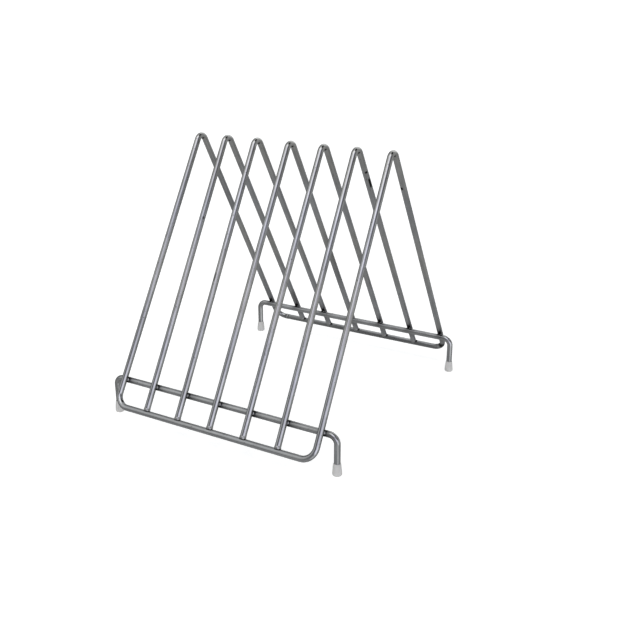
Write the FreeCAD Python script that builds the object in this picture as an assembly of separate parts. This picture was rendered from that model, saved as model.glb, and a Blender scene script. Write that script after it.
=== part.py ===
import FreeCAD, Part

# Chopping-board rack of bent and welded round wire, in millimetres.
#
# Frame: +X runs along the ridge from the left end to the right end, the front is -Y, and +Z
# is up. The origin lies on the ground, below the middle of the rack.
#
# Seven A-shaped wires stand in a row. The first and the last belong to one closed loop with
# the two bottom bars. The five between them end on those bars. Two leg rods run along the
# inside of the A shapes and turn down into four legs, which wear plastic caps.

import math
import os

from FreeCAD import Vector

# Wire and row
ROD_D = 6.2
PITCH = 38.0
WIRE_COUNT = 7

# The A shape, on its centrelines
BAR_Y = 151.0
BAR_Z = 18.4
APEX_Z = 273.4
RIDGE_BEND_R = 6.8
CORNER_BEND_R = 13.0
# How far each ridge leans along X from its own base, from the left wire to the right wire.
RIDGE_LEANS = (6.0, 1.5, -0.5, 1.0, 0.5, -1.5, -2.0)

# Leg rods, on their centrelines
LEG_ROD_Z = 39.0
LEG_X = 128.0
LEG_BEND_R = 8.0
LEG_END_Z = 2.0

# Cross welds: the two wires sink into each other, and the fused metal is a round nugget.
SET_DOWN = 0.6
NUGGET_R = 2.7
NUGGET_T = 2.4

# End welds: a short cone around each divider end, measured along the wire from the bar axis.
END_GAP = 3.6
COLLAR_FROM = 2.2
COLLAR_TO = 4.8
COLLAR_FOOT_R = 3.5
COLLAR_TOP_R = 3.25

# Butt weld that closes the loop
BUTT_T = 1.2
BUTT_R = 3.35
BUTT_EDGE_R = 0.4
BUTT_RUN = 2.0

# Foot caps: a thin lip, a skirt that swells towards the ground, and a rounded sole.
CAP_H = 12.3
CAP_LIP_R = 3.45
CAP_NECK_R = 3.85
CAP_NECK_Z = 10.3
CAP_WAIST_R = 4.25
CAP_WAIST_Z = 6.1
CAP_FOOT_R = 4.55
CAP_FOOT_Z = 1.6
CAP_SOLE_R = 3.1

# Derived sizes
ROD_R = ROD_D / 2
BASE_XS = [PITCH * (i - (WIRE_COUNT - 1) / 2) for i in range(WIRE_COUNT)]
SPREAD = math.atan2(BAR_Y, APEX_Z - BAR_Z)
ROD_GAP = ROD_D - SET_DOWN
# Height on the limb's centreline of the point that faces the leg rod
CROSSING_Z = LEG_ROD_Z + ROD_GAP * math.sin(SPREAD)
CROSSING_Y = (APEX_Z - CROSSING_Z) * math.tan(SPREAD)
LEG_ROD_Y = CROSSING_Y - ROD_GAP * math.cos(SPREAD)
BUTT_X = BASE_XS[0] + CORNER_BEND_R + BUTT_RUN

FRONT = -1
REAR = 1


def base_point(index, side):
    """Where a wire's limb meets the axis of the front or rear bottom bar."""
    return Vector(BASE_XS[index], side * BAR_Y, BAR_Z)


def apex_point(index):
    """Where the two limbs of a wire would meet if the ridge were sharp."""
    return Vector(BASE_XS[index] + RIDGE_LEANS[index], 0, APEX_Z)


def limb_direction(index, side):
    return (apex_point(index) - base_point(index, side)).normalize()


def inward(side):
    """Unit vector from a limb to the leg rod on the inside of the A shape."""
    return Vector(0, -side * math.cos(SPREAD), -math.sin(SPREAD))


def bent_rod(corners, radii):
    """Round wire along straight runs joined by tangent bends."""
    edges = []
    start = corners[0]
    for before, corner, after, radius in zip(corners, corners[1:], corners[2:], radii):
        back = (before - corner).normalize()
        ahead = (after - corner).normalize()
        half_angle = back.getAngle(ahead) / 2
        reach = radius / math.tan(half_angle)
        centre = corner + (back + ahead).normalize() * (radius / math.sin(half_angle))
        bend_start = corner + back * reach
        bend_middle = centre + (corner - centre).normalize() * radius
        bend_end = corner + ahead * reach
        edges.append(Part.LineSegment(start, bend_start).toShape())
        edges.append(Part.Arc(bend_start, bend_middle, bend_end).toShape())
        start = bend_end
    edges.append(Part.LineSegment(start, corners[-1]).toShape())
    section = Part.Circle(corners[0], corners[1] - corners[0], ROD_R).toShape()
    rod = Part.Wire(edges).makePipeShell([Part.Wire(section)], True, False)
    length = sum(edge.Length for edge in edges)
    print("length %.1f mm, volume over section times length %.4f"
          % (length, rod.Volume / (math.pi * ROD_R**2 * length)))
    return rod


def perimeter_frame():
    """The closed loop, open only by the thickness of its butt weld."""
    last = WIRE_COUNT - 1
    corners = [
        Vector(BUTT_X - BUTT_T / 2, BAR_Y, BAR_Z),
        base_point(0, REAR),
        apex_point(0),
        base_point(0, FRONT),
        base_point(last, FRONT),
        apex_point(last),
        base_point(last, REAR),
        Vector(BUTT_X + BUTT_T / 2, BAR_Y, BAR_Z),
    ]
    end_bends = [CORNER_BEND_R, RIDGE_BEND_R, CORNER_BEND_R]
    return bent_rod(corners, end_bends + end_bends)


def divider_wire(index):
    """One A-shaped wire, cut square just above each bottom bar."""
    corners = [
        base_point(index, FRONT) + limb_direction(index, FRONT) * END_GAP,
        apex_point(index),
        base_point(index, REAR) + limb_direction(index, REAR) * END_GAP,
    ]
    return bent_rod(corners, [RIDGE_BEND_R])


def leg_rod(side):
    """Long rod that turns down into a leg at each end."""
    y = side * LEG_ROD_Y
    corners = [
        Vector(-LEG_X, y, LEG_END_Z),
        Vector(-LEG_X, y, LEG_ROD_Z),
        Vector(LEG_X, y, LEG_ROD_Z),
        Vector(LEG_X, y, LEG_END_Z),
    ]
    return bent_rod(corners, [LEG_BEND_R, LEG_BEND_R])


def cross_weld(index, side):
    """Nugget between one wire and the leg rod, square to both."""
    rise = (CROSSING_Z - BAR_Z) / (APEX_Z - BAR_Z)
    on_limb = base_point(index, side) + (apex_point(index) - base_point(index, side)) * rise
    middle = on_limb + inward(side) * (ROD_GAP / 2)
    return Part.makeCylinder(NUGGET_R, NUGGET_T, middle - inward(side) * (NUGGET_T / 2), inward(side))


def end_weld(index, side, bar, wire):
    """Collar that joins the end of a divider wire to the top of a bottom bar."""
    direction = limb_direction(index, side)
    start = base_point(index, side) + direction * COLLAR_FROM
    cone = Part.makeCone(COLLAR_FOOT_R, COLLAR_TOP_R, COLLAR_TO - COLLAR_FROM, start, direction)
    return cone.cut(bar).cut(wire).Solids[0]


def butt_weld():
    """Upset disc between the two ends of the loop."""
    start = Vector(BUTT_X - BUTT_T / 2, BAR_Y, BAR_Z)
    disc = Part.makeCylinder(BUTT_R, BUTT_T, start, Vector(1, 0, 0))
    rims = [edge for edge in disc.Edges if isinstance(edge.Curve, Part.Circle)]
    return disc.makeFillet(BUTT_EDGE_R, rims)


def foot_cap(x, y):
    """Push-on cap with a blind bore for the leg, turned about its own axis."""
    centre = Vector(0, 0, 0)
    sole = Vector(CAP_SOLE_R, 0, 0)
    foot = Vector(CAP_FOOT_R, 0, CAP_FOOT_Z)
    # The sole's rounding is a quarter of an ellipse between the flat and the widest ring.
    shoulder = Vector(
        CAP_SOLE_R + (CAP_FOOT_R - CAP_SOLE_R) * math.sin(math.pi / 4),
        0,
        CAP_FOOT_Z * (1 - math.cos(math.pi / 4)),
    )
    waist = Vector(CAP_WAIST_R, 0, CAP_WAIST_Z)
    neck = Vector(CAP_NECK_R, 0, CAP_NECK_Z)
    lip = Vector(CAP_LIP_R, 0, CAP_H)
    rim = Vector(ROD_R, 0, CAP_H)
    bore_edge = Vector(ROD_R, 0, LEG_END_Z)
    bore_floor = Vector(0, 0, LEG_END_Z)
    outline = [
        Part.LineSegment(centre, sole),
        Part.Arc(sole, shoulder, foot),
        Part.Arc(foot, waist, neck),
        Part.LineSegment(neck, lip),
        Part.LineSegment(lip, rim),
        Part.LineSegment(rim, bore_edge),
        Part.LineSegment(bore_edge, bore_floor),
        Part.LineSegment(bore_floor, centre),
    ]
    section = Part.Face(Part.Wire([edge.toShape() for edge in outline]))
    cap = section.revolve(centre, Vector(0, 0, 1), 360)
    cap.translate(Vector(x, y, 0))
    return cap


def save(name, shape):
    shape.exportStep("parts/" + name + ".step")
    print(name, len(shape.Solids), "solids, valid", shape.isValid(), "volume %.1f" % shape.Volume)


def main():
    os.makedirs("parts", exist_ok=True)
    dividers = range(1, WIRE_COUNT - 1)
    frame = perimeter_frame()
    wires = {index: divider_wire(index) for index in dividers}
    nuggets = {side: [cross_weld(index, side) for index in range(WIRE_COUNT)] for side in (FRONT, REAR)}
    all_nuggets = Part.makeCompound(nuggets[FRONT] + nuggets[REAR])

    save("perimeter_frame", frame.cut(all_nuggets))
    save("frame_butt_weld", butt_weld())
    for index in dividers:
        save("divider_wire_%d" % index, wires[index].cut(all_nuggets))
    for side, side_name in ((FRONT, "front"), (REAR, "rear")):
        save(side_name + "_leg_rod", leg_rod(side).cut(all_nuggets))
        save(side_name + "_cross_welds", Part.makeCompound(nuggets[side]))
        collars = [end_weld(index, side, frame, wires[index]) for index in dividers]
        save(side_name + "_end_welds", Part.makeCompound(collars))
        for x, end_name in ((-LEG_X, "left"), (LEG_X, "right")):
            save("foot_cap_%s_%s" % (side_name, end_name), foot_cap(x, side * LEG_ROD_Y))


main()
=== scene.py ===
# Wire rack for chopping boards: the looks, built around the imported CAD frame.
#
# The wires are fine tubes along the same straight runs and bends as the CAD wires. Each one
# stands for its CAD node, and so do the welds and the foot caps.
# Row frame: +X along the ridge, front -Y, +Z up, metres.

import math

import bpy
from mathutils import Matrix, Vector, noise


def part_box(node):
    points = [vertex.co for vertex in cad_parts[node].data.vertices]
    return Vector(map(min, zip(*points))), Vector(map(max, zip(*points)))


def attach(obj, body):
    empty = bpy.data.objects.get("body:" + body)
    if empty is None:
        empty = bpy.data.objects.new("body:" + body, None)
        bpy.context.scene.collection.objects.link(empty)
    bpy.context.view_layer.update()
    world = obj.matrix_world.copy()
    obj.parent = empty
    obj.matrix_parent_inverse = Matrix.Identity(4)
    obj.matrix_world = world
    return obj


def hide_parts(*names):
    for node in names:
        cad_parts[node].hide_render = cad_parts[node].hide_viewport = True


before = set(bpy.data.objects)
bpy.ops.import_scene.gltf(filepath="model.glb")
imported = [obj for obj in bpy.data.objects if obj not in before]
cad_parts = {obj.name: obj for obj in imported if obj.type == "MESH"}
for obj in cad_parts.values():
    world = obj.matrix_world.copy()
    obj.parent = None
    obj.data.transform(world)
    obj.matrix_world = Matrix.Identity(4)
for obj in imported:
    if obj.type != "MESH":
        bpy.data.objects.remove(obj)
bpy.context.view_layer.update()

MM = 0.001
LEFT, RIGHT = -1, 1
FRONT, REAR = -1, 1
SIDE_NAMES = {FRONT: "front", REAR: "rear"}
END_NAMES = {LEFT: "left", RIGHT: "right"}
ALONG_X = Vector((1, 0, 0))
UP = Vector((0, 0, 1))

# Driving dimensions that the frame's boxes don't show
WIRE_COUNT = 7
PITCH = 38.0 * MM
APEX_Z = 273.4 * MM
RIDGE_BEND_R = 6.8 * MM
CORNER_BEND_R = 13.0 * MM
LEG_BEND_R = 8.0 * MM
BUTT_RUN = 2.0 * MM
RIDGE_LEANS = [lean * MM for lean in (6.0, 1.5, -0.5, 1.0, 0.5, -1.5, -2.0)]
CAP_LIP_R = 3.45 * MM
CAP_NECK_R = 3.85 * MM
CAP_NECK_Z = 10.3 * MM
CAP_FOOT_Z = 1.6 * MM
CAP_SOLE_R = 3.1 * MM

# Dimensions read from the frame
leg_low, leg_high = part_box("front_leg_rod")
loop_low, loop_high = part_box("perimeter_frame")
cap_low, cap_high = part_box("foot_cap_front_left")
ROD_R = (leg_high.y - leg_low.y) / 2
LEG_X = leg_high.x - ROD_R
LEG_Y = -(leg_low.y + leg_high.y) / 2
LEG_ROD_Z = leg_high.z - ROD_R
LEG_END_Z = leg_low.z
BAR_Y = loop_high.y - ROD_R
BAR_Z = loop_low.z + ROD_R
CAP_H = cap_high.z
CAP_FOOT_R = (cap_high.x - cap_low.x) / 2 - 0.01 * MM

# Worked out from both
BASE_XS = [PITCH * (i - (WIRE_COUNT - 1) / 2) for i in range(WIRE_COUNT)]
DIVIDERS = range(1, WIRE_COUNT - 1)
SPREAD = math.atan2(BAR_Y, APEX_Z - BAR_Z)
BUTT_PLACE = Vector((BASE_XS[0] + CORNER_BEND_R + BUTT_RUN, BAR_Y, BAR_Z))


def base_point(index, side):
    """Where a wire's limb meets the axis of the front or rear bottom bar."""
    return Vector((BASE_XS[index], side * BAR_Y, BAR_Z))


def apex_point(index):
    """Where a wire's two limbs would meet if the ridge were sharp."""
    return Vector((BASE_XS[index] + RIDGE_LEANS[index], 0, APEX_Z))


def limb_direction(index, side):
    return (apex_point(index) - base_point(index, side)).normalized()


def limb_point(index, side, height):
    """The point of a limb's axis at a height."""
    rise = (height - BAR_Z) / (APEX_Z - BAR_Z)
    return base_point(index, side).lerp(apex_point(index), rise)


def inward(side):
    """Unit vector from a limb to the leg rod on the inside of the A shape."""
    return Vector((0, -side * math.cos(SPREAD), -math.sin(SPREAD)))


def crossing(index, side):
    """The middle of the weld between a wire and a leg rod."""
    leg_axis = Vector((0, side * LEG_Y, LEG_ROD_Z))
    base, direction = base_point(index, side), limb_direction(index, side)
    square = inward(side).cross(ALONG_X)
    on_limb = base + direction * ((leg_axis - base).dot(square) / direction.dot(square))
    return (on_limb + Vector((on_limb.x, leg_axis.y, leg_axis.z))) / 2


def fall(value, start, end):
    """1 up to the start, 0 from the end, and a smooth fall between them."""
    share = min(max((value - start) / (end - start), 0), 1)
    return 1 - share * share * (3 - 2 * share)


# ---------------------------------------------------------------- marks and painted shade on the metal

# Pairs of distances are fades, as fall() takes them: full up to the first, gone from the second.

# Dark notches of a cross weld, up and down the limb from its nugget: painted shade in the crease,
# with some scorch. The inner ones lie on the leg rod's side.
NOTCH_START = (0.6 * MM, 1.5 * MM)
NOTCH_END = (3.2 * MM, 4.8 * MM)
NOTCH_DEPTH = (2.4 * MM, 3.6 * MM)
INNER_NOTCH_WIDTH = (1.8 * MM, 3.8 * MM)
OUTER_NOTCH_WIDTH = (0.4 * MM, 2.2 * MM)
INNER_NOTCH_SHIFT = 1.5 * MM
INNER_NOTCH, OUTER_NOTCH = 0.8, 0.5

# Painted shade, with some heat tint, around a cross weld, and how much faster it fades each way
# than along the limb
SHADE_TINT_REACH = 11.0 * MM
SHADE_TINT_RIGHT, SHADE_TINT_LEFT = 1.2, 2.5
SHADE_TINT_INWARD, SHADE_TINT_OUTWARD = 4.5, 14

# Painted shadow where a divider's end sits on a bar: a dark line on top of the bar, a little toward
# +X
END_LINE = 0.85
END_LINE_SHIFT = 1.0 * MM
END_LINE_WIDTH = (0.4 * MM, 1.1 * MM)
END_LINE_DEPTH = (0.1 * MM, 0.5 * MM)
END_LINE_HEIGHT = (0.8 * MM, 2.0 * MM)
END_LINE_RISE = (0.45 * ROD_R, 0.6 * ROD_R)

# Dark rings on the bar, on both sides of the butt weld
BUTT_RING = 0.45
BUTT_RING_OFF = 2.0 * MM
BUTT_RING_WIDTH = (0.3 * MM, 1.1 * MM)

# Painted shade on the rear bar's underside, most toward its right end: its middle, how far it spreads
# along the bar, and where it starts below the bar's top
REAR_BAR_SHADE = 0.68
REAR_BAR_SHADE_PLACE = Vector((70 * MM, BAR_Y, BAR_Z))
REAR_BAR_SHADE_SPREAD = (70 * MM, 290 * MM)
REAR_BAR_SHADE_BELOW = (-ROD_R, -0.35 * ROD_R)
REAR_BAR_SHADE_OFF_BAR = (1.2 * ROD_R, 1.5 * ROD_R)

# How far from its site each mark is worked out. A painted dark reflection is worked out past its end
# by a margin.
CROSS_REACH, END_REACH, BUTT_REACH, DARK_REFLECTION_MARGIN = 22 * MM, 8 * MM, 6 * MM, 3 * MM

# Painted dark reflections, short dark marks along the wires: wire, side, height, half length along
# the wire, the turn around the wire from the side that faces outward toward +X, and strength
DARK_REFLECTIONS = (
    (1, FRONT, 193 * MM, 1.4 * MM, 55, 0.6),
    (2, FRONT, 144 * MM, 4.0 * MM, -8, 0.55),
    (5, REAR, 244 * MM, 1.2 * MM, 130, 0.95),
    (5, REAR, 232 * MM, 5.5 * MM, 110, 0.95),
    (6, REAR, 231 * MM, 1.5 * MM, 190, 0.95),
)
DARK_REFLECTION_WIDTH = 0.8 * MM

# Darker, slightly rougher stretches of the A wires: wire, side, height, reach and strength
DARKER_STRETCHES = (
    (0, FRONT, 75 * MM, 60 * MM, 0.22),
    (0, FRONT, 210 * MM, 65 * MM, 0.20),
    (1, FRONT, 215 * MM, 60 * MM, 0.15),
    (0, REAR, 54 * MM, 18 * MM, 0.3),
    (0, REAR, 205 * MM, 50 * MM, 0.25),
    (1, REAR, 54 * MM, 20 * MM, 0.7),
    (3, REAR, 118 * MM, 46 * MM, 0.35),
)

# Painted shade at the loop's corners, round dark spots: wire, side, distances from the sharp corner
# up the limb and along the bar, and reach
CORNER_SHADES = ((0, FRONT, 5.2 * MM, 7.0 * MM, 3.0 * MM), (6, REAR, 7.7 * MM, 0.9 * MM, 6.5 * MM))
CORNER_SHADE_DARKNESS = 0.75


def cross_crease_shade_and_scorch(point, site):
    """Dark notches above and below the nugget, in the crease of a cross weld: painted crease shade
    with some scorch.
    """
    centre, direction, normal = site
    away = point - centre
    height = abs(away.dot(direction))
    notch = fall(height, *NOTCH_END) - fall(height, *NOTCH_START)
    depth = away.dot(normal)
    if depth > 0:
        across = INNER_NOTCH * fall(abs(away.x - INNER_NOTCH_SHIFT), *INNER_NOTCH_WIDTH)
    else:
        across = OUTER_NOTCH * fall(abs(away.x), *OUTER_NOTCH_WIDTH)
    return notch * across * fall(abs(depth), *NOTCH_DEPTH)


def cross_shade_and_tint(point, site):
    """Soft painted shade, with some heat tint, around a cross weld, strongest toward +X and on the
    inner metal.
    """
    centre, direction, normal = site
    away = point - centre
    across = away.x * (SHADE_TINT_RIGHT if away.x > 0 else SHADE_TINT_LEFT)
    depth = away.dot(normal)
    through = SHADE_TINT_INWARD * max(depth - ROD_R, 0) + SHADE_TINT_OUTWARD * max(-depth - ROD_R, 0)
    distance = Vector((across, away.dot(direction), through)).length
    return math.exp(-((distance / SHADE_TINT_REACH) ** 2))


def end_shadow(point, site):
    """Painted shadow: a thin dark line where the end of a divider wire sits on a bottom bar."""
    base, direction = site
    away = point - base
    rise = away.dot(direction)
    off_divider = (away - direction * rise - ALONG_X * END_LINE_SHIFT).length - ROD_R
    off_bar = (away - ALONG_X * away.x).length - ROD_R
    on_top = (1 - fall(away.z, *END_LINE_HEIGHT)) * (1 - fall(rise, *END_LINE_RISE))
    return END_LINE * on_top * fall(off_divider, *END_LINE_WIDTH) * fall(off_bar, *END_LINE_DEPTH)


def butt_dark_rings(point, site):
    """Two dark rings beside the raised butt weld."""
    run = abs(point.x - site[0].x)
    return BUTT_RING * fall(abs(run - BUTT_RING_OFF), *BUTT_RING_WIDTH)


def no_mark(*_):
    return 0.0


def rear_bar_painted_shade(point, site):
    """Painted shade on the rear bar, but not on its top, and most toward its right end."""
    away = point - site[0]
    off_bar = (away - ALONG_X * away.x).length
    below_top = 1 - fall(-away.z, *REAR_BAR_SHADE_BELOW)
    return REAR_BAR_SHADE * below_top * fall(abs(away.x), *REAR_BAR_SHADE_SPREAD) * fall(off_bar, *REAR_BAR_SHADE_OFF_BAR)


def painted_dark_reflection(point, site):
    """A painted dark reflection: a short dark smear along a wire."""
    centre, direction, half_length, strength = site
    away = point - centre
    run = away.dot(direction)
    off = (away - direction * run).length
    width = DARK_REFLECTION_WIDTH + strength * MM
    across = fall(off, width / 2, width)
    return strength * across * fall(abs(run), half_length * 0.7, half_length * 1.3)


def dark_reflection_site(index, side, height, half_length, turn, strength):
    """The place of a painted dark reflection on the wire's surface, and what the function that paints
    it needs.
    """
    direction = limb_direction(index, side)
    outward = -inward(side)
    out = Matrix.Rotation(math.radians(turn), 3, direction * -side) @ outward
    return (limb_point(index, side, height) + out * ROD_R, direction, half_length, strength)


def darker_stretch(point, site):
    """Darker, slightly rougher metal around a place on a wire's axis."""
    place, reach, strength = site
    return strength * fall((point - place).length, 0.4 * reach, reach)


def corner_shade_spot(point, site):
    """A round spot of painted shade."""
    place, reach = site
    return CORNER_SHADE_DARKNESS * fall((point - place).length, 0.5 * reach, reach)


def corner_site(index, side, rise, run, reach):
    """The place of painted shade beside a corner of the loop, and its reach."""
    toward_middle = ALONG_X * (1 if index == 0 else -1)
    return (base_point(index, side) + limb_direction(index, side) * rise + toward_middle * run, reach)


def all_sites():
    """Every mark and painted shade: the place, how far it can reach, its scorch-and-shade and
    tint-and-shade functions and their data.
    """
    sites = []
    for side in (FRONT, REAR):
        for index in range(WIRE_COUNT):
            place = crossing(index, side)
            data = (place, limb_direction(index, side), inward(side))
            sites.append((place, CROSS_REACH, cross_crease_shade_and_scorch, cross_shade_and_tint, data))
        for index in DIVIDERS:
            base = base_point(index, side)
            direction = limb_direction(index, side)
            foot = base + direction * ROD_R
            sites.append((foot, END_REACH, end_shadow, no_mark, (base, direction)))
    sites.append((BUTT_PLACE, BUTT_REACH, butt_dark_rings, no_mark, (BUTT_PLACE,)))
    sites.append((REAR_BAR_SHADE_PLACE, REAR_BAR_SHADE_SPREAD[1], no_mark, rear_bar_painted_shade, (REAR_BAR_SHADE_PLACE,)))
    for dark_reflection in DARK_REFLECTIONS:
        site = dark_reflection_site(*dark_reflection)
        sites.append((site[0], site[2] * 1.3 + DARK_REFLECTION_MARGIN, painted_dark_reflection, no_mark, site))
    for index, side, height, reach, strength in DARKER_STRETCHES:
        place = limb_point(index, side, height)
        sites.append((place, reach, no_mark, darker_stretch, (place, reach, strength)))
    for corner in CORNER_SHADES:
        site = corner_site(*corner)
        sites.append((site[0], site[1], corner_shade_spot, no_mark, site))
    return sites


SITES = all_sites()


def marks_at(point, near):
    """How much scorch and painted shade, and how much tint and painted shade, the metal has at a
    point, from 0 to 1.
    """
    scorch_and_shade, tint_shade = 0.0, 0.0
    for place, reach, scorch_and_shade_at, tint_shade_at, data in near:
        if (point - place).length < reach:
            scorch_and_shade = max(scorch_and_shade, scorch_and_shade_at(point, data))
            tint_shade = max(tint_shade, tint_shade_at(point, data))
    return scorch_and_shade, tint_shade


# ---------------------------------------------------------------- meshes


def add_piece(name, verts, faces, nodes, material):
    """A mesh piece in place, riding on the rack and standing for its CAD nodes."""
    mesh = bpy.data.meshes.new(name)
    mesh.from_pydata(verts, [], faces)
    mesh.update()
    mesh.polygons.foreach_set("use_smooth", [True] * len(mesh.polygons))
    mesh.materials.append(material)
    piece = bpy.data.objects.new(name, mesh)
    bpy.context.scene.collection.objects.link(piece)
    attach(piece, "root")
    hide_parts(*nodes)
    return piece


def add_attribute(piece, name, values):
    data = piece.data.attributes.new(name, "FLOAT", "POINT").data
    data.foreach_set("value", values)


def ring_faces(ring_count, around):
    """Quads between neighbouring rings of points, and a cap at each end."""
    faces = []
    for i in range(ring_count - 1):
        here, there = i * around, (i + 1) * around
        for k in range(around):
            nxt = (k + 1) % around
            faces.append((here + k, here + nxt, there + nxt, there + k))
    faces.append(tuple(reversed(range(around))))
    faces.append(tuple(range((ring_count - 1) * around, ring_count * around)))
    return faces


# Bends tighter than this are fully creased and pinched on the inside, and wider ones in part
TIGHT_BEND_R = 7.5 * MM
WIDE_BEND_GRIP = 0.4

# Points around a wire, and steps along its clean runs, beside its marks and around its bends
AROUND = 40
RUN_STEP = 3.0 * MM
SITE_STEP = 0.5 * MM
TURN_STEP = math.radians(4)

# The short steps are taken this far each side of a mark, and a long step stops a little sooner
SITE_MARGIN = 7.0 * MM
SITE_APPROACH = 6.5 * MM


def run_places(start, end, near):
    """Places along a straight run, close together beside the marks, without its end."""
    length = (end - start).length
    ahead = (end - start) / length
    stops = [(site[0] - start).dot(ahead) for site in near]
    places = []
    run = 0.0
    while run < length - SITE_STEP / 2:
        places.append(start + ahead * run)
        gap = min([abs(run + SITE_STEP - stop) for stop in stops], default=1)
        run += SITE_STEP if gap < SITE_MARGIN else min(RUN_STEP, gap - SITE_APPROACH)
    return places


def bend_places(before, corner, after, radius):
    """Places around a tangent bend without its last, each with the way to the bend's inside."""
    back = (before - corner).normalized()
    ahead = (after - corner).normalized()
    half = back.angle(ahead) / 2
    reach = radius / math.tan(half)
    centre = corner + (back + ahead).normalized() * (radius / math.sin(half))
    first = back * reach + corner - centre
    turn = math.pi - 2 * half
    axis = first.cross(ahead * reach + corner - centre).normalized()
    steps = math.ceil(turn / TURN_STEP)
    bend = []
    for k in range(steps):
        arm = Matrix.Rotation(turn * k / steps, 3, axis) @ first
        grip = math.sin(math.pi * k / steps) * (1 if radius < TIGHT_BEND_R else WIDE_BEND_GRIP)
        bend.append((centre + arm, -arm.normalized() * grip))
    return bend, corner + ahead * reach


def wire_line(corners, bend_radii, near):
    """Places along a bent wire, each with the way to the inside of its bend, if any."""
    straight = Vector((0, 0, 0))
    line = []
    start = corners[0]
    for before, corner, after, radius in zip(corners, corners[1:], corners[2:], bend_radii):
        bend, bend_end = bend_places(before, corner, after, radius)
        line += [(place, straight) for place in run_places(start, bend[0][0], near)]
        line += bend
        start = bend_end
    line += [(place, straight) for place in run_places(start, corners[-1], near)]
    line.append((corners[-1], straight))
    return line


# How far the outside of a bend flattens, and its inside swells, as a share of the radius
BEND_FLAT, BEND_SWELL = 0.05, 0.02

# How dark a bend's inside is, and how squarely a point has to face it for that
BEND_SHADE = 0.9
BEND_SHADE_FACING = (0.35, 0.7)

# The slight waviness of the drawn surface, always inward
WAVE, WAVE_LENGTH = 0.02 * MM, 14 * MM

# Where on one long drawn wire each wire was cut, in metres, so that no two look the same
LOOP_CUT, DIVIDER_CUT, LEG_ROD_CUT = 0.0, 3.0, 30.0


def near_sites(corners):
    """The marks close to one of a wire's runs."""
    near = []
    for site in SITES:
        for a, b in zip(corners, corners[1:]):
            share = min(max((site[0] - a).dot(b - a) / (b - a).length_squared, 0), 1)
            if (site[0] - a.lerp(b, share)).length < 2 * ROD_R:
                near.append(site)
                break
    return near


def add_wire(node, corners, bend_radii, material, cut):
    """A drawn wire. Its points carry their place on the straight wire, and the marks and painted
    shade on it.
    """
    near = near_sites(corners)
    line = wire_line(corners, bend_radii, near)
    places = [place for place, inner in line]
    side = (places[1] - places[0]).orthogonal().normalized()
    verts, unrolled, scorch_and_shade_values, tint_shade_values = [], [], [], []
    run = cut
    for i, (place, inner) in enumerate(line):
        along = (places[min(i + 1, len(places) - 1)] - places[max(i - 1, 0)]).normalized()
        side = (side - along * side.dot(along)).normalized()
        other = along.cross(side)
        run += (place - places[max(i - 1, 0)]).length
        for k in range(AROUND):
            angle = 2 * math.pi * k / AROUND
            out = side * math.cos(angle) + other * math.sin(angle)
            inside = out.dot(inner)
            shape = BEND_SWELL * max(inside, 0) ** 2 - BEND_FLAT * min(inside, 0) ** 2
            spot = Vector((math.cos(angle) * ROD_R, math.sin(angle) * ROD_R, run))
            wave = WAVE * (noise.noise(spot / WAVE_LENGTH) - 1)
            point = place + out * (ROD_R * (1 + shape) + wave)
            scorch_and_shade, tint_shade = marks_at(point, near)
            verts.append(point)
            unrolled.extend(spot)
            # The inside of a tight bend gets painted shade
            scorch_and_shade_values.append(max(scorch_and_shade, BEND_SHADE * (1 - fall(inside, *BEND_SHADE_FACING))))
            tint_shade_values.append(tint_shade)
    piece = add_piece(node + "_wire", verts, ring_faces(len(line), AROUND), [node], material)
    data = piece.data.attributes.new("on_wire", "FLOAT_VECTOR", "POINT").data
    data.foreach_set("vector", unrolled)
    add_attribute(piece, "scorch_and_shade", scorch_and_shade_values)
    add_attribute(piece, "tint_and_shade", tint_shade_values)


# Lumps per metre on rough weld metal. Its middle, within the clear radius, stays smooth.
LUMPS = 700
LUMP_CLEAR_R = 1.0 * MM


def turned(profile, centre, direction, around, rough=0.0):
    """Points and faces of a closed turned shape. The profile is (radius, distance along)."""
    side = direction.orthogonal().normalized()
    other = direction.cross(side).normalized()
    verts = []
    for radius, along in profile:
        for k in range(around):
            angle = 2 * math.pi * k / around
            out = side * math.cos(angle) + other * math.sin(angle)
            place = centre + direction * along
            lump = rough * noise.noise((place + out * radius) * LUMPS) if radius > LUMP_CLEAR_R else 0
            verts.append(place + out * (radius + lump))
    return verts, ring_faces(len(profile), around)


def joined(parts):
    """One list of points and faces from several."""
    verts, faces = [], []
    for part_verts, part_faces in parts:
        start = len(verts)
        verts += part_verts
        faces += [tuple(start + i for i in face) for face in part_faces]
    return verts, faces


# ---------------------------------------------------------------- materials


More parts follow.
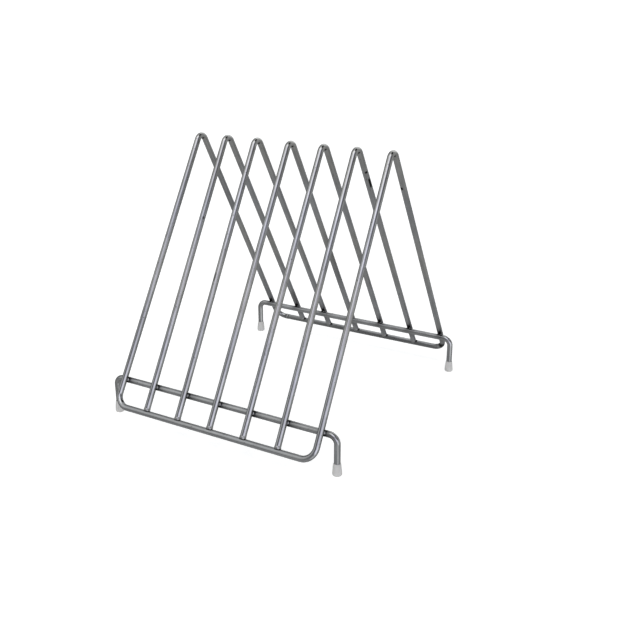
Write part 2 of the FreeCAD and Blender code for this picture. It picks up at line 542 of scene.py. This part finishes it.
class Nodes:
    """Short words for building shader nodes."""

    def __init__(self, tree):
        self.tree = tree

    def add(self, kind, **settings):
        node = self.tree.nodes.new("ShaderNode" + kind)
        for key, value in settings.items():
            setattr(node, key, value)
        return node

    def link(self, out, into):
        self.tree.links.new(out, into)

    def put(self, into, value):
        """Link a socket, or set it to a number, a vector or a colour."""
        if isinstance(value, bpy.types.NodeSocket):
            self.link(value, into)
        elif isinstance(value, tuple) and into.type == "RGBA":
            into.default_value = (*value, 1)
        else:
            into.default_value = value

    def attribute(self, name, output):
        return self.add("Attribute", attribute_name=name).outputs[output]

    def vector(self, operation, first, second, output="Vector"):
        node = self.add("VectorMath", operation=operation)
        self.put(node.inputs[0], first)
        self.put(node.inputs["Scale" if operation == "SCALE" else 1], second)
        return node.outputs[output]

    def math(self, operation, first, second=0.0):
        node = self.add("Math", operation=operation)
        self.put(node.inputs[0], first)
        self.put(node.inputs[1], second)
        return node.outputs[0]

    def noise(self, vector, scale, detail=2.0, rough=0.5):
        node = self.add("TexNoise")
        self.link(vector, node.inputs["Vector"])
        node.inputs["Scale"].default_value = scale
        node.inputs["Detail"].default_value = detail
        node.inputs["Roughness"].default_value = rough
        return node.outputs["Fac"]

    def stretched_noise(self, place, stretch, scale, **settings):
        return self.noise(self.vector("MULTIPLY", place, stretch), scale, **settings)

    def remap(self, value, low, high, to_low, to_high, kind="LINEAR"):
        node = self.add("MapRange", interpolation_type=kind)
        keys = ("Value", "From Min", "From Max", "To Min", "To Max")
        for key, item in zip(keys, (value, low, high, to_low, to_high)):
            self.put(node.inputs[key], item)
        return node.outputs["Result"]

    def mix(self, share, first, second):
        """Two colours mixed. Of the node's sockets only the factor and the colours are used."""
        node = self.add("Mix", data_type="RGBA")
        sockets = (node.inputs[0], node.inputs[6], node.inputs[7])
        for socket, item in zip(sockets, (share, first, second)):
            self.put(socket, item)
        return node.outputs[2]

    def bump(self, height, strength, distance, under=None):
        node = self.add("Bump")
        node.inputs["Strength"].default_value = strength
        node.inputs["Distance"].default_value = distance
        self.link(height, node.inputs["Height"])
        if under:
            self.link(under, node.inputs["Normal"])
        return node.outputs["Normal"]

    def feed(self, **sockets):
        """Set or link the sockets of the Principled shader."""
        shader = self.tree.nodes["Principled BSDF"]
        for key, value in sockets.items():
            self.put(shader.inputs[key.replace("_", " ")], value)


def new_material(name):
    material = bpy.data.materials.new(name)
    material.use_nodes = True
    return material, Nodes(material.node_tree)


# Colours of the plated wire
CLOUDED, CLEAR = (0.43, 0.432, 0.435), (0.59, 0.592, 0.595)
DRAW_LINE = (0.41, 0.412, 0.417)
PIT = (0.10, 0.10, 0.10)
# The next two colours darken the wire: the first for tint, darker stretches and painted shade; the
# second for scorch, dark rings, painted shade, painted shadow and painted dark reflections
TINT_AND_SHADE_COLOUR = (0.03, 0.03, 0.03)
SCORCH_AND_SHADE_COLOUR = (0.022, 0.021, 0.021)

# The plating's hue swings between these with height, once in every band, from a first height
COOL_BAND, WARM_BAND = (0.985, 0.99, 1.03), (1.015, 1, 0.985)
BAND_LENGTH = 120 * MM
COOLEST_AT, BANDS_FROM = 80 * MM, 60 * MM

# Noise on the wire: its stretch around and along, and its scale per metre
DRAW_LINES = (1, 1, 0.02), 2600
CLOUDS = (1, 1, 0.35), 260
PITS = (1, 1, 0.6), 900
PATCHES = (4, 4, 0.25), 80
DRIFT = (1, 1, 0.3), 60


def plated_wire_material():
    """Bright wire: draw lines along it, clouding, bands of hue, pits, and scorched welds, with
    painted shade, shadow and dark reflections.
    """
    material, n = new_material("plated_wire")
    on_wire = n.attribute("on_wire", "Vector")
    scorch_and_shade = n.attribute("scorch_and_shade", "Fac")
    tint_shade = n.attribute("tint_and_shade", "Fac")
    lines = n.stretched_noise(on_wire, *DRAW_LINES, detail=3, rough=0.6)
    clouds = n.stretched_noise(on_wire, *CLOUDS, detail=3)
    pits = n.remap(n.stretched_noise(on_wire, *PITS, detail=1), 0.70, 0.76, 0, 1)
    bright = n.mix(n.remap(clouds, 0.25, 0.75, 0, 1), CLOUDED, CLEAR)
    streaked = n.mix(n.remap(lines, 0.35, 0.75, 0, 0.5), bright, DRAW_LINE)
    patches = n.stretched_noise(on_wire, *PATCHES, detail=2)
    patched = n.vector("MULTIPLY", streaked, n.remap(patches, 0.35, 0.65, 0.90, 1.09))
    place = n.add("SeparateXYZ")
    n.link(n.add("TexCoord").outputs["Object"], place.inputs[0])
    height = n.math("MAXIMUM", place.outputs["Z"], BANDS_FROM)
    above = n.math("SUBTRACT", height, COOLEST_AT)
    bands = n.math("COSINE", n.math("MULTIPLY", above, 2 * math.pi / BAND_LENGTH))
    drift = n.remap(n.stretched_noise(on_wire, *DRIFT, detail=1), 0.3, 0.7, -0.5, 0.5)
    warmth = n.remap(n.math("ADD", bands, drift), -1, 1, 1, 0)
    warmed = n.vector("MULTIPLY", patched, n.mix(warmth, COOL_BAND, WARM_BAND))
    pitted = n.mix(pits, warmed, PIT)
    # The tint channel (tint, darker stretches, painted shade), then the scorch channel (scorch, dark
    # rings, painted shade, painted shadow, painted dark reflections) darken the colour
    tinted_and_shaded = n.mix(n.math("MULTIPLY", tint_shade, 0.66), pitted, TINT_AND_SHADE_COLOUR)
    ragged = n.remap(clouds, 0.3, 0.7, -0.12, 0.12)
    edge = n.remap(n.math("ADD", scorch_and_shade, ragged), 0.1, 0.8, 0, 1)
    scorched_and_shaded = n.mix(edge, tinted_and_shaded, SCORCH_AND_SHADE_COLOUR)
    marked = n.math("MAXIMUM", n.math("MULTIPLY", tint_shade, 0.10), n.math("MULTIPLY", edge, 0.35))
    dull = n.math("ADD", marked, n.math("MULTIPLY", pits, 0.3))
    roughness = n.math("ADD", n.remap(lines, 0.3, 0.75, 0.06, 0.13), dull)
    drawn = n.bump(lines, 0.10, 0.02 * MM)
    cloudy = n.bump(clouds, 0.20, 0.05 * MM, drawn)
    n.feed(Base_Color=scorched_and_shaded, Metallic=1.0, Roughness=roughness, Normal=cloudy)
    return material


# The last weld colour is painted shadow, on the end-weld collars next to the bar
WELD_DARK, WELD_BRIGHT, WELD_SHADOW = (0.36, 0.36, 0.36), (0.52, 0.52, 0.52), (0.025, 0.024, 0.024)


def weld_material():
    """Resistance-weld metal: dull and uneven, with brighter patches, and painted shadow on the
    end-weld collars next to the bar.
    """
    material, n = new_material("weld_metal")
    place = n.add("TexCoord").outputs["Object"]
    grain = n.noise(place, 1500, detail=4, rough=0.65)
    blotch = n.noise(place, 420, detail=2)
    metal = n.mix(n.remap(blotch, 0.35, 0.65, 0, 1), WELD_DARK, WELD_BRIGHT)
    colour = n.mix(n.attribute("scorch_and_shade", "Fac"), metal, WELD_SHADOW)
    roughness = n.remap(grain, 0.3, 0.7, 0.24, 0.42)
    n.feed(Base_Color=colour, Metallic=1.0, Roughness=roughness, Normal=n.bump(grain, 0.4, 0.12 * MM))
    return material


CAP_DARK, CAP_BRIGHT = (0.525, 0.52, 0.508), (0.625, 0.618, 0.603)


def cap_material():
    """Soft white plastic that lets a little light through."""
    material, n = new_material("cap_plastic")
    place = n.add("TexCoord").outputs["Object"]
    grain = n.noise(place, 3000, detail=3, rough=0.6)
    blotch = n.noise(place, 250, detail=2)
    colour = n.mix(blotch, CAP_DARK, CAP_BRIGHT)
    n.feed(
        Base_Color=colour,
        Roughness=n.remap(grain, 0.3, 0.7, 0.38, 0.52),
        Subsurface_Weight=0.25,
        Subsurface_Radius=(2.0 * MM, 2.0 * MM, 1.8 * MM),
        Subsurface_Scale=1.0,
        Normal=n.bump(grain, 0.15, 0.05 * MM),
    )
    return material


# ---------------------------------------------------------------- pieces


# The loop's ends stop this far from the middle of the butt weld
BUTT_GAP = 0.3 * MM
# A divider's ends start this far above the axis of a bottom bar
DIVIDER_SINK = 0.8 * ROD_R


def add_loop(material):
    """The closed loop: both end A shapes and both bottom bars in one wire."""
    last = WIRE_COUNT - 1
    gap = ALONG_X * BUTT_GAP
    corners = [
        BUTT_PLACE - gap,
        base_point(0, REAR),
        apex_point(0),
        base_point(0, FRONT),
        base_point(last, FRONT),
        apex_point(last),
        base_point(last, REAR),
        BUTT_PLACE + gap,
    ]
    end_bends = [CORNER_BEND_R, RIDGE_BEND_R, CORNER_BEND_R]
    add_wire("perimeter_frame", corners, end_bends + end_bends, material, LOOP_CUT)


def add_divider(index, material):
    """One inner A shape. It reaches a little into each bar, inside the end weld."""
    corners = [
        base_point(index, FRONT) + limb_direction(index, FRONT) * DIVIDER_SINK,
        apex_point(index),
        base_point(index, REAR) + limb_direction(index, REAR) * DIVIDER_SINK,
    ]
    add_wire("divider_wire_%d" % index, corners, [RIDGE_BEND_R], material, DIVIDER_CUT * index)


def add_leg_rod(side, material):
    y = side * LEG_Y
    corners = [
        Vector((LEFT * LEG_X, y, LEG_END_Z)),
        Vector((LEFT * LEG_X, y, LEG_ROD_Z)),
        Vector((RIGHT * LEG_X, y, LEG_ROD_Z)),
        Vector((RIGHT * LEG_X, y, LEG_END_Z)),
    ]
    add_wire(SIDE_NAMES[side] + "_leg_rod", corners, [LEG_BEND_R] * 2, material, LEG_ROD_CUT + side)


WELD_STEPS = 12
NUGGET_R, NUGGET_HALF = 3.5 * MM, 1.1 * MM
NUGGET_SQUASH = 0.55
NUGGET_ROUGH, COLLAR_ROUGH, BUTT_ROUGH = 0.4 * MM, 0.08 * MM, 0.12 * MM
NUGGET_AROUND, RING_AROUND = 28, 36
# The poles of a nugget are flat faces, which take this share of its half turn each
NUGGET_POLE = 0.02


def nugget(index, side):
    """Squeezed metal between two crossed wires: an uneven pill, wide along the leg rod."""
    profile = []
    for k in range(WELD_STEPS + 1):
        angle = math.pi * (NUGGET_POLE + (1 - 2 * NUGGET_POLE) * k / WELD_STEPS)
        profile.append((NUGGET_R * math.sin(angle) ** 0.6, -NUGGET_HALF * math.cos(angle)))
    centre, direction = crossing(index, side), limb_direction(index, side)
    verts, faces = turned(profile, centre, inward(side), NUGGET_AROUND, NUGGET_ROUGH)
    squashed = [v - direction * ((v - centre).dot(direction) * (1 - NUGGET_SQUASH)) for v in verts]
    return squashed, faces


def add_weld_piece(name, parts, scorch_and_shade_values, material):
    verts, faces = joined(parts)
    piece = add_piece(name + "_bead", verts, faces, [name], material)
    add_attribute(piece, "scorch_and_shade", scorch_and_shade_values)


def add_cross_welds(side, material):
    parts = [nugget(index, side) for index in range(WIRE_COUNT)]
    scorch_and_shade_values = [0.0] * sum(len(part[0]) for part in parts)
    add_weld_piece(SIDE_NAMES[side] + "_cross_welds", parts, scorch_and_shade_values, material)


# The collar of upset metal at a divider's end: heights along the wire, and its edge, which lies
# just under the wire's surface
COLLAR_FROM, COLLAR_LENGTH = 0.75 * ROD_R, 0.95 * ROD_R
COLLAR_SWELL = 0.22 * MM
COLLAR_EDGE = ROD_R - 0.04 * MM
# Painted shadow on the collar's lower end, next to the bar: its darkness, and the heights along the
# wire where it fades
COLLAR_SHADOW = 0.45
COLLAR_SHADOW_RISE = (0.75 * ROD_R, 1.0 * ROD_R)


def end_collar(index, side):
    """Slightly upset metal at the foot of a divider wire."""
    profile = []
    for k in range(WELD_STEPS + 1):
        share = k / WELD_STEPS
        swell = COLLAR_SWELL * math.sin(math.pi * share) ** 0.7
        profile.append((COLLAR_EDGE + swell, COLLAR_FROM + COLLAR_LENGTH * share))
    base, direction = base_point(index, side), limb_direction(index, side)
    return turned(profile, base, direction, RING_AROUND, COLLAR_ROUGH)


def add_end_welds(side, material):
    parts, scorch_and_shade_values = [], []
    for index in DIVIDERS:
        verts, faces = end_collar(index, side)
        parts.append((verts, faces))
        for vert in verts:
            rise = (vert - base_point(index, side)).dot(limb_direction(index, side))
            scorch_and_shade_values.append(COLLAR_SHADOW * fall(rise, *COLLAR_SHADOW_RISE))
    add_weld_piece(SIDE_NAMES[side] + "_end_welds", parts, scorch_and_shade_values, material)


BUTT_HALF = 1.6 * MM
BUTT_EDGE = ROD_R - 0.05 * MM
BUTT_RAISE = 0.2 * MM


def add_butt_weld(material):
    """The raised ring between the two ends of the loop."""
    profile = []
    for k in range(WELD_STEPS + 1):
        share = 2 * k / WELD_STEPS - 1
        profile.append((BUTT_EDGE + BUTT_RAISE * math.cos(share * math.pi / 2), BUTT_HALF * share))
    parts = [turned(profile, BUTT_PLACE, ALONG_X, RING_AROUND, BUTT_ROUGH)]
    add_weld_piece("frame_butt_weld", parts, [0.0] * len(parts[0][0]), material)


def quarter(first, last, steps):
    """A quarter of an ellipse that leaves the first point along the radius, without its last."""
    points = []
    for k in range(steps):
        angle = math.pi / 2 * k / steps
        radius = first[0] + (last[0] - first[0]) * math.sin(angle)
        points.append((radius, first[1] + (last[1] - first[1]) * (1 - math.cos(angle))))
    return points


CAP_AROUND = 64
SKIRT_STEPS, SOLE_STEPS, LIP_STEPS = 16, 8, 6
SKIRT_CURVE = 1.3
LIP_ROUND = 0.22 * MM
BORE_R = ROD_R + 0.03 * MM
# Inside this radius, the sole and the bore's floor are each closed by one flat face
CAP_HUB_R = 0.4 * MM


def cap_profile():
    """Rounded sole, swelling skirt, rounded lip, and the bore around the leg."""
    skirt = []
    for k in range(SKIRT_STEPS):
        share = k / SKIRT_STEPS
        radius = CAP_FOOT_R - (CAP_FOOT_R - CAP_NECK_R) * share**SKIRT_CURVE
        skirt.append((radius, CAP_FOOT_Z + (CAP_NECK_Z - CAP_FOOT_Z) * share))
    lip_edge = (CAP_LIP_R, CAP_H - LIP_ROUND)
    lip = reversed(quarter((BORE_R, CAP_H), lip_edge, LIP_STEPS))
    sole = quarter((CAP_SOLE_R, 0.0), (CAP_FOOT_R, CAP_FOOT_Z), SOLE_STEPS)
    outside = [(CAP_HUB_R, 0.0), *sole, *skirt, (CAP_NECK_R, CAP_NECK_Z), lip_edge]
    return [*outside, *lip, (BORE_R, LEG_END_Z), (CAP_HUB_R, LEG_END_Z)]


def add_cap(side, end, material):
    name = "foot_cap_%s_%s" % (SIDE_NAMES[side], END_NAMES[end])
    place = Vector((end * LEG_X, side * LEG_Y, 0))
    verts, faces = turned(cap_profile(), place, UP, CAP_AROUND)
    add_piece(name + "_plastic", verts, faces, [name], material)


def add_rack():
    wire, weld, plastic = plated_wire_material(), weld_material(), cap_material()
    add_loop(wire)
    for index in DIVIDERS:
        add_divider(index, wire)
    add_butt_weld(weld)
    for side in (FRONT, REAR):
        add_leg_rod(side, wire)
        add_cross_welds(side, weld)
        add_end_welds(side, weld)
        for end in (LEFT, RIGHT):
            add_cap(side, end, plastic)


# ---------------------------------------------------------------- studio

LENS = 50.3
VIEW_AZIMUTH = math.radians(30.29)
VIEW_ELEVATION = math.radians(20.21)
VIEW_ROLL = math.radians(-0.15)
CAMERA_PLACE = Vector((0.4546, -0.7344, 0.4076))

# The floor reaches this far each way, in metres, and the camera sees further than that
FLOOR_HALF = 120.0
CAMERA_REACH = 500
FLOOR_COLOUR = (0.8, 0.8, 0.8)
FLOOR_GLOW = 0.62
WHITE = (1, 1, 1)


def add_camera():
    """The photograph's viewpoint. The roll turns the picture about the line of sight."""
    a, e = VIEW_AZIMUTH, VIEW_ELEVATION
    back = Vector((math.sin(a) * math.cos(e), -math.cos(a) * math.cos(e), math.sin(e)))
    right = UP.cross(back).normalized()
    up = back.cross(right)
    turned_right = right * math.cos(VIEW_ROLL) + up * math.sin(VIEW_ROLL)
    turned_up = up * math.cos(VIEW_ROLL) - right * math.sin(VIEW_ROLL)
    data = bpy.data.cameras.new("camera")
    data.lens = LENS
    data.clip_end = CAMERA_REACH
    camera = bpy.data.objects.new("camera", data)
    rotation = Matrix((turned_right, turned_up, back)).transposed().to_4x4()
    camera.matrix_world = Matrix.Translation(CAMERA_PLACE) @ rotation
    bpy.context.scene.collection.objects.link(camera)
    bpy.context.scene.camera = camera


def add_floor():
    """A white floor out to the horizon. The wires reflect the room instead of it."""
    ways = ((-1, -1), (1, -1), (1, 1), (-1, 1))
    corners = [(x * FLOOR_HALF, y * FLOOR_HALF, 0) for x, y in ways]
    mesh = bpy.data.meshes.new("floor")
    mesh.from_pydata(corners, [], [(0, 1, 2, 3)])
    material, n = new_material("floor")
    n.feed(Base_Color=FLOOR_COLOUR, Roughness=0.9, Emission_Color=WHITE, Emission_Strength=FLOOR_GLOW)
    mesh.materials.append(material)
    floor = bpy.data.objects.new("floor", mesh)
    bpy.context.scene.collection.objects.link(floor)
    floor.visible_glossy = False


# Soft lights far around the rack, and dark places between them: azimuth from straight ahead
# toward +X, elevation, the angles where each one starts to fade and where it ends, and
# brightness over the room's
SOFT_LIGHTS = (
    (12, 59, 14, 31, 1.20),
    (40, 18, 7, 26, 0.80),
    (62, 0, 16, 28, 0.76),
    (99, -4, 9, 25, 0.32),
    (-47, 33, 4, 37, 0.47),
    (145, 22, 10, 44, 0.20),
    (52, -28, 14, 30, 0.36),
    (188, 30, 12, 38, 0.72),
    (15, 35, 3, 13, 0.25),
    (-21, 36, 5, 17, -0.24),
    (124, 64, 9, 24, -0.90),
)
# Room brightness by the height of the direction, from straight down to straight up, and the
# least brightness anywhere
ROOM = ((-1.0, 0.33), (-0.5, 0.36), (-0.2, 0.27), (0.1, 0.28), (0.5, 0.15), (1.0, 0.62))
DIMMEST = (0.01, 0.01, 0.01)
# The light from the front right is slightly cooler: its place and fade, as for a soft light
COOL_SIDE = (38, 24, 12, 52)
NEUTRAL, COOL = (0.990, 1.010, 0.998), (0.955, 0.958, 1.073)


def toward(azimuth, elevation):
    """Unit vector of a direction, with its azimuth from straight ahead toward +X."""
    a, e = math.radians(azimuth), math.radians(elevation)
    return (math.cos(e) * math.sin(a), -math.cos(e) * math.cos(a), math.sin(e))


def soft_spot(n, way, azimuth, elevation, inner, outer, value):
    """The value within the inner angle of a direction, fading to zero at the outer angle."""
    nearness = n.vector("DOT_PRODUCT", way, toward(azimuth, elevation), "Value")
    near, far = math.cos(math.radians(inner)), math.cos(math.radians(outer))
    return n.remap(nearness, far, near, 0, value, "SMOOTHSTEP")


def add_room():
    """The far room that lights the rack. Above the horizon it shows as white as the floor."""
    world = bpy.data.worlds.new("room")
    world.use_nodes = True
    bpy.context.scene.world = world
    n = Nodes(world.node_tree)
    way = n.add("TexCoord").outputs["Generated"]
    parts = n.add("SeparateXYZ")
    n.link(way, parts.inputs[0])
    ramp = n.add("ValToRGB")
    stops = ramp.color_ramp.elements
    while len(stops) < len(ROOM):
        stops.new(0.5)
    for stop, (height, grey) in zip(stops, ROOM):
        stop.position = (height + 1) / 2
        stop.color = (grey, grey, grey, 1)
    n.link(n.remap(parts.outputs["Z"], -1, 1, 0, 1), ramp.inputs[0])
    total = ramp.outputs[0]
    for light in SOFT_LIGHTS:
        total = n.vector("ADD", total, soft_spot(n, way, *light))
    lit = n.vector("MAXIMUM", total, DIMMEST)
    tint = n.mix(soft_spot(n, way, *COOL_SIDE, 1), NEUTRAL, COOL)
    room = n.vector("MULTIPLY", lit, tint)
    seen = n.add("LightPath").outputs["Is Camera Ray"]
    n.link(n.mix(seen, room, WHITE), n.tree.nodes["Background"].inputs["Color"])


add_camera()
add_rack()
add_floor()
add_room()
bpy.context.scene.view_settings.view_transform = "Standard"
